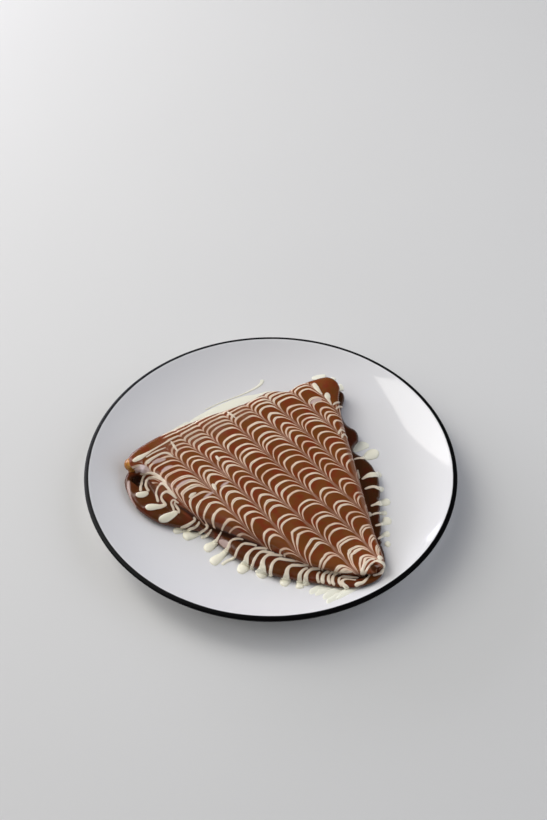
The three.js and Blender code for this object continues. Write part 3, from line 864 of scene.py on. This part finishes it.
chocolate = {
    "light": "#804a20",
    "dark": "#643413",
    "red": "#7c2e18",
    "lineWarm": "#dab69c",
    "lineCool": "#eddac1",
    "halo": "#875539",
    "haloReach": 1.0,
    "haloShare": 0.45,
    "stroke": "#855740",
    "strokePale": "#9b7560",
    "strokeWidth": (1.5, 0.7),  # the blended band fades out between these distances from the stroke
    "strokeShare": 0.88,
    "streaks": (26.0, 0.05, 0.0),  # fine streaks: how many across each cell, and along each millimetre
    # Painted sheen: pale lavender where the gloss would mirror the light, brighter where a patch is broad.
    "sheen": "#c4aba3",
    "sheenBright": "#f0dcdc",
    "blurSheenShare": 0.7,
    "core": "#75604f",  # chocolate that shows through the middle of a broad line
    "coreWidth": (0.5, 0.15),
    "coreSmeared": 0.4,  # its share where lines are broader
    "nub": "#d0953f",
    "nubDark": "#a06524",
    "pouredThin": "#dfceb8",
    "pouredThick": "#eee9d3",
    "pouredHalf": (0.8, 2.4),  # half widths at which a poured strand counts as thin and as thick
    "lineSmeared": 0.35,  # added to the half width where lines are broader
    "lineEdge": 0.25,
    "shearWidth": 0.12,  # power of the shear by which a line widens
    "waver": 0.08,  # the strokes' waver, as a share of the distance between two
    # Size and detail of each uneven pattern.
    "patterns": {"waver": (14.3, 1.0), "ripple": (9.1, 2.0), "swell": (18.2, 2.0), "cloud": (22.2, 3.0),
                 "warm": (8.33, 2.0)},
    "wakeTint": 0.8,  # lines are warmer in the skewer's wake by this
    # Between which values of an uneven pattern something fades in, and what it is worth at both.
    "fades": {"lineHalf": ((0.3, 0.7), (0.62, 1.05)), "core": ((0.5, 0.6), (0, 0.35)),
              "lineCool": ((0.25, 0.5), (0, 1)), "strokePale": ((0.35, 0.65), (0, 1)),
              "nub": ((0.42, 0.6), (0, 1)), "red": ((0.45, 0.65), (0, 0.7))},
    "gloss": (0.16, 0.32),  # roughness
    "specular": 0.45,
    "relief": (0.35, 0.25),  # strength and depth
    "ior": 1.46,
}


def lineCurve(tree, share, heights, stations, interpolation):
    # A curve over the crepe's length: it counts the lines, or gives the gap between them.
    node = addNode(tree, "FloatCurve", {"Value": share})
    curve = node.mapping.curves[0]
    span = stations[-1] - stations[0]
    places = [(station - stations[0]) / span for station in stations]
    pairs = list(zip(places, heights))
    if interpolation == "steps":
        pairs = [(places[0], heights[0])]
        for place, before, after in zip(places[1:-1], heights, heights[1:]):
            pairs += [(place - 0.0004, before), (place + 0.0004, after)]
        pairs.append((places[-1], heights[-1]))
    curve.points[0].location = pairs[0]
    curve.points[1].location = pairs[-1]
    for pair in pairs[1:-1]:
        curve.points.new(*pair)
    for point in curve.points:
        point.handle_type = "VECTOR"
    node.mapping.update()
    return node


def featheredGlaze():
    # Milk chocolate couverture poured warm: glossy, with white chocolate lines feathered into it.
    material, tree, shader = newMaterial("milk chocolate glaze")
    place = addNode(tree, "TexCoord").outputs["Object"]
    waver, ripple, swell, cloud, warm = [
        addNode(tree, "TexNoise", {"Vector": place, "Scale": patternScale(size), "Detail": detail})
        for size, detail in chocolate["patterns"].values()
    ]
    plan, finish, poured, sheenValues = [
        addNode(tree, "Attribute", attribute_name=name).outputs["Vector"]
        for name in ("glazePlan", "glazeFinish", "glazePouredAndShade", "glazeSheen")
    ]
    number, length, cell = addNode(tree, "SeparateXYZ", {0: plan}).outputs
    bare, broader, nub = addNode(tree, "SeparateXYZ", {0: finish}).outputs
    strandEdge, strandHalf, paintedShade = addNode(tree, "SeparateXYZ", {0: poured}).outputs
    blurSheen, sheen, sheenBright = addNode(tree, "SeparateXYZ", {0: sheenValues}).outputs

    # Distance to the nearest stroke, with a slight waver. Ping-pong by a half gives the way to the nearest
    # whole number.
    sway = chocolate["waver"]
    swayed = addNode(tree, "Math", {0: waver, 1: sway, 2: -sway / 2}, operation="MULTIPLY_ADD")
    index = addNode(tree, "Math", {0: number, 1: swayed}, operation="ADD")
    offset = addNode(tree, "Math", {0: index, 1: 0.5}, operation="PINGPONG")
    away = addNode(tree, "Math", {0: offset, 1: cell}, operation="MULTIPLY")

    # The skewer's wake drags the lines along the stroke.
    fall = addNode(tree, "Math", {0: away, 1: -1 / glaze["wake"]}, operation="MULTIPLY")
    fade = addNode(tree, "Math", {0: fall}, operation="EXPONENT")
    begin, full = glaze["pullStart"]
    begun = addNode(tree, "MapRange", {"Value": length, "From Min": begin, "From Max": full})
    wake = addNode(tree, "Math", {0: fade, 1: begun}, operation="MULTIPLY")
    drag = addNode(tree, "Math", {0: wake, 1: -glaze["pull"], 2: length}, operation="MULTIPLY_ADD")
    shift = addNode(tree, "Math", {0: ripple, 1: 0.5}, operation="SUBTRACT")
    crown = addNode(tree, "Math", {0: drag, 1: shift}, operation="ADD")

    # What the uneven patterns change, in the order of the fades.
    tintHere = addNode(tree, "Math", {0: wake, 1: -chocolate["wakeTint"], 2: swell},
                       operation="MULTIPLY_ADD")
    streakPlace = addNode(tree, "VectorMath", {0: plan, 1: chocolate["streaks"]}, operation="MULTIPLY")
    streak = addNode(tree, "TexNoise", {"Vector": streakPlace, "Scale": 1.0, "Detail": 2.0})
    patterns = zip((swell, swell, tintHere, streak, ripple, warm), chocolate["fades"].values())
    weight, coreShare, tint, streakTone, browned, warmth = [
        addNode(tree, "MapRange", {"Value": value, "From Min": start, "From Max": end,
                                   "To Min": least, "To Max": most})
        for value, ((start, end), (least, most)) in patterns
    ]

    # Distance to the nearest line: a share of the gap that it lies in.
    stations = lineStations()
    count = len(stations) - 1
    gaps = np.diff(stations)
    widest = float(gaps.max())
    share = addNode(tree, "MapRange", {"Value": crown, "From Min": stations[0], "From Max": stations[-1]})
    counted = lineCurve(tree, share, [i / count for i in range(count + 1)], stations, "straight")
    gap = lineCurve(tree, share, [g / widest for g in gaps] + [gaps[-1] / widest], stations, "steps")
    lines = addNode(tree, "Math", {0: counted, 1: float(count)}, operation="MULTIPLY")
    near = addNode(tree, "Math", {0: lines, 1: 0.5}, operation="PINGPONG")
    scaled = addNode(tree, "Math", {0: near, 1: gap}, operation="MULTIPLY")
    distance = addNode(tree, "Math", {0: scaled, 1: widest}, operation="MULTIPLY")

    # Lines keep some of their width where they are sheared.
    slope = addNode(tree, "Math", {0: wake, 1: glaze["pull"] / glaze["wake"]}, operation="MULTIPLY")
    steep = addNode(tree, "Math", {0: slope, 1: slope, 2: 1.0}, operation="MULTIPLY_ADD")
    stretch = addNode(tree, "Math", {0: steep, 1: chocolate["shearWidth"]}, operation="POWER")
    plain = addNode(tree, "Math", {0: weight, 1: stretch}, operation="MULTIPLY")
    half = addNode(tree, "Math", {0: broader, 1: chocolate["lineSmeared"], 2: plain},
                   operation="MULTIPLY_ADD")
    shown = addNode(tree, "Math", {0: 1.0, 1: bare}, operation="SUBTRACT")
    inner = addNode(tree, "Math", {0: half, 1: chocolate["lineEdge"]}, operation="SUBTRACT")
    shares = []
    for reach in (chocolate["lineEdge"], chocolate["haloReach"]):
        outer = addNode(tree, "Math", {0: half, 1: reach}, operation="ADD")
        edge = addNode(tree, "MapRange", {"Value": distance, "From Min": outer, "From Max": inner},
                       interpolation_type="SMOOTHSTEP")
        shares.append(addNode(tree, "Math", {0: edge, 1: shown}, operation="MULTIPLY"))
    line, halo = shares
    haloSoft = addNode(tree, "Math", {0: halo, 1: chocolate["haloShare"]}, operation="MULTIPLY")

    # A broad line is split by chocolate that shows through its middle.
    coreEdge, coreMiddle = chocolate["coreWidth"]
    core = addNode(tree, "MapRange", {"Value": distance, "From Min": coreEdge, "From Max": coreMiddle},
                   interpolation_type="SMOOTHSTEP")
    coreBoth = addNode(tree, "Math", {0: broader, 1: chocolate["coreSmeared"], 2: coreShare},
                       operation="MULTIPLY_ADD")
    coreLine = addNode(tree, "Math", {0: core, 1: line}, operation="MULTIPLY")
    coreShown = addNode(tree, "Math", {0: coreLine, 1: coreBoth}, operation="MULTIPLY")

    # The blended band under each stroke, and the blurred lines painted paler as sheen.
    bandEdge, bandMiddle = chocolate["strokeWidth"]
    band = addNode(tree, "MapRange", {"Value": away, "From Min": bandEdge, "From Max": bandMiddle,
                                      "To Max": chocolate["strokeShare"]}, interpolation_type="SMOOTHSTEP")
    bandShown = addNode(tree, "Math", {0: band, 1: shown}, operation="MULTIPLY")
    bandBegun = addNode(tree, "Math", {0: bandShown, 1: begun}, operation="MULTIPLY")
    blurSheenShare = addNode(tree, "Math", {0: blurSheen, 1: chocolate["blurSheenShare"]}, operation="MULTIPLY")
    blended = addNode(tree, "Math", {0: bandBegun, 1: blurSheenShare}, operation="MAXIMUM")

    # Strands that were poured over the edge.
    pouredEdge = addNode(tree, "Math", {0: ripple, 1: 0.5, 2: strandEdge}, operation="MULTIPLY_ADD")
    pouredMask = addNode(tree, "MapRange", {"Value": pouredEdge, "From Min": 0.5, "From Max": 0.0},
                         interpolation_type="SMOOTHSTEP")
    thin, thick = chocolate["pouredHalf"]
    pouredShare = addNode(tree, "MapRange", {"Value": strandHalf, "From Min": thin, "From Max": thick})

    # Tones that change from place to place: warmer lines in the wake, fine streaks in the band.
    body, white, stroke, milk, pour, crust = [
        addNode(tree, "Mix", {0: share, 6: chocolate[first], 7: chocolate[second]}, data_type="RGBA")
        for share, first, second in (
            (cloud, "dark", "light"), (tint, "lineWarm", "lineCool"), (streakTone, "stroke", "strokePale"),
            (sheenBright, "sheen", "sheenBright"), (pouredShare, "pouredThin", "pouredThick"),
            (browned, "nubDark", "nub"))
    ]

    # The layers, from the bare chocolate up.
    patched = addNode(tree, "Mix", {0: warmth, 6: body, 7: chocolate["red"]}, data_type="RGBA")
    # Painted shade darkens the bare chocolate.
    surface = addNode(tree, "VectorMath", {0: patched, "Scale": paintedShade}, operation="SCALE")
    # Painted sheen is one of the layers.
    layers = [(haloSoft, chocolate["halo"]), (line, white), (coreShown, chocolate["core"]),
              (blended, stroke), (sheen, milk), (pouredMask, pour), (nub, crust)]
    for share, tone in layers:
        surface = addNode(tree, "Mix", {0: share, 6: surface, 7: tone}, data_type="RGBA")

    glossy, satin = chocolate["gloss"]
    shine = addNode(tree, "MapRange", {"Value": cloud, "To Min": glossy, "To Max": satin})
    relief = addNode(tree, "Math", {0: line, 1: cloud}, operation="ADD")
    strength, depth = chocolate["relief"]
    bump = addNode(tree, "Bump", {"Height": relief, "Strength": strength, "Distance": depth * mm})
    wire(tree, shader, {"Base Color": surface, "Roughness": shine, "IOR": chocolate["ior"],
                        "Specular IOR Level": chocolate["specular"], "Normal": bump})
    return material


addCrepe()

print("drips and pools on the plate")
whitePour = {
    "thin": "#f4ecd4",
    "thick": "#fffbe6",
    "film": "#f3f3e4",
    "thickness": (2.4, 5.5),  # widths at which a strand counts as thin and as thick
    "cloudSize": 6.25,
    "unevenness": 2.0,  # by which the thickness seems to change
    "satin": (0.3, 0.45),  # roughness
    "relief": (0.2, 0.2),  # strength and depth
    "ior": 1.46,
    # name, its strands, height as a share of its width, how much of it is a thin film, what it lies on. The
    # last two lie flat on the plate, partly under the crepe.
    "pieces": [
        ("drips_front", frontStrands, 0.18, 0, skinTree),
        ("drips_side", sideStrands, 0.12, 0.3, skinTree),
        ("pool_back", backStrands, 0.03, 0.8, None),
        ("smears_tip", smears, 0.03, 0.8, None),
    ],
}


def evened(values, rounds):
    for _ in range(rounds):
        values[1:-1] = 0.25 * values[:-2] + 0.5 * values[1:-1] + 0.25 * values[2:]
    return values


def addStrand(bm, line, wide, flatness, film):
    # A drip ends a little way up the side of the crepe, where the painted strand takes over.
    onCrepe = line[:, 3] > 0.5
    climbs = onCrepe.any()
    if climbs:
        first = np.argmax(onCrepe)
        beyond = (line[:, :2] - line[first, :2]) @ line[first, 4:6] / np.linalg.norm(line[first, 4:6])
        kept = onCrepe | (beyond < -strand["stopShort"])
        kept[:2] = True
        line, wide, onCrepe = line[kept], wide[kept], onCrepe[kept]
    run = runAlong(line)
    last = len(line) - 1
    if climbs:
        last = min(last, int(np.searchsorted(run, run[np.argmax(onCrepe)] + strand["climb"])))
    stations = np.linspace(0, run[last], max(8, int(run[last] / strand["spacing"])))
    count = len(stations)
    width = strand["spread"] * np.interp(stations, run, wide)
    fade = np.ones(count)
    if last < len(line) - 1:
        fade = np.clip((run[last] - stations) / strand["climb"], 0, 1)
        width = width * (strand["climbWidth"] + (1 - strand["climbWidth"]) * fade)
    middle, heading = [
        evened(np.stack([np.interp(stations, run, line[:, i]) for i in columns], axis=1), rounds)
        for columns, rounds in zip(((0, 1, 2), (4, 5)), strand["evening"])
    ]
    sideways = np.column_stack([-heading[:, 1], heading[:, 0], np.zeros(count)])
    sideways /= np.linalg.norm(sideways, axis=1)[:, None]
    normals = np.cross(np.gradient(middle, axis=0), sideways)
    normals /= np.linalg.norm(normals, axis=1)[:, None]
    made = bmesh.ops.create_uvsphere(bm, u_segments=strand["ring"], v_segments=count, radius=1)
    thickness = bm.verts.layers.float_vector["strandFinish"]
    shares = np.linspace(0, 1, count)
    for vert in made["verts"]:
        share = math.acos(max(-1, min(1, vert.co.z))) / math.pi
        angle = math.atan2(vert.co.y, vert.co.x)
        pole = math.hypot(vert.co.x, vert.co.y) < 1e-5
        columns = (*middle.T, *sideways.T, *normals.T, width, fade)
        values = [np.interp(share, shares, column) for column in columns]
        centre, across, up = np.array(values[:3]), np.array(values[3:6]), np.array(values[6:9])
        broad = 0.0 if pole else values[9]
        rise = (strand["leastRise"] + flatness * broad) * min(1, broad)
        rise *= strand["climbHeight"] + (1 - strand["climbHeight"]) * values[10]
        lift = (rise if math.sin(angle) > 0 else strand["sink"]) * math.sin(angle)
        vert.co = Vector(centre + across * (broad / 2 * math.cos(angle)) + up * lift) * mm
        vert[thickness] = (broad, share, film)


def whiteChocolate():
    # White couverture: ivory and satin, warmer where it lies thin over the dark glaze.
    material, tree, shader = newMaterial("white chocolate")
    place = addNode(tree, "TexCoord").outputs["Object"]
    finish = addNode(tree, "Attribute", attribute_name="strandFinish").outputs["Vector"]
    wide, _, film = addNode(tree, "SeparateXYZ", {0: finish}).outputs
    cloud = addNode(tree, "TexNoise", {"Vector": place, "Scale": patternScale(whitePour["cloudSize"]),
                                       "Detail": 2.0})
    uneven = addNode(tree, "Math", {0: cloud, 1: whitePour["unevenness"], 2: wide},
                     operation="MULTIPLY_ADD")
    thin, thick = whitePour["thickness"]
    share = addNode(tree, "MapRange", {"Value": uneven, "From Min": thin, "From Max": thick})
    tone = addNode(tree, "Mix", {0: share, 6: whitePour["thin"], 7: whitePour["thick"]}, data_type="RGBA")
    filmed = addNode(tree, "Mix", {0: film, 6: tone, 7: whitePour["film"]}, data_type="RGBA")
    low, high = whitePour["satin"]
    shine = addNode(tree, "MapRange", {"Value": cloud, "To Min": low, "To Max": high})
    strength, depth = whitePour["relief"]
    bump = addNode(tree, "Bump", {"Height": cloud, "Strength": strength, "Distance": depth * mm})
    wire(tree, shader, {"Base Color": filmed, "Roughness": shine, "IOR": whitePour["ior"], "Normal": bump})
    return material


def addWhiteChocolate():
    material = whiteChocolate()
    for name, strands, flatness, film, tree in whitePour["pieces"]:
        bm = bmesh.new()
        bm.verts.layers.float_vector.new("strandFinish")
        for points, widths in strands:
            line, wide = seenPath(points, widths, tree)
            if line[0, 3] < 0.5:
                addStrand(bm, line, wide, flatness, film)
        bmesh.ops.remove_doubles(bm, verts=bm.verts, dist=0.002 * mm)
        bmesh.ops.recalc_face_normals(bm, faces=bm.faces)
        mesh = bpy.data.meshes.new(name)
        bm.to_mesh(mesh)
        bm.free()
        addPiece(name, mesh, material)
        print(" ", name, len(mesh.polygons), "faces")


addWhiteChocolate()

print("finished")
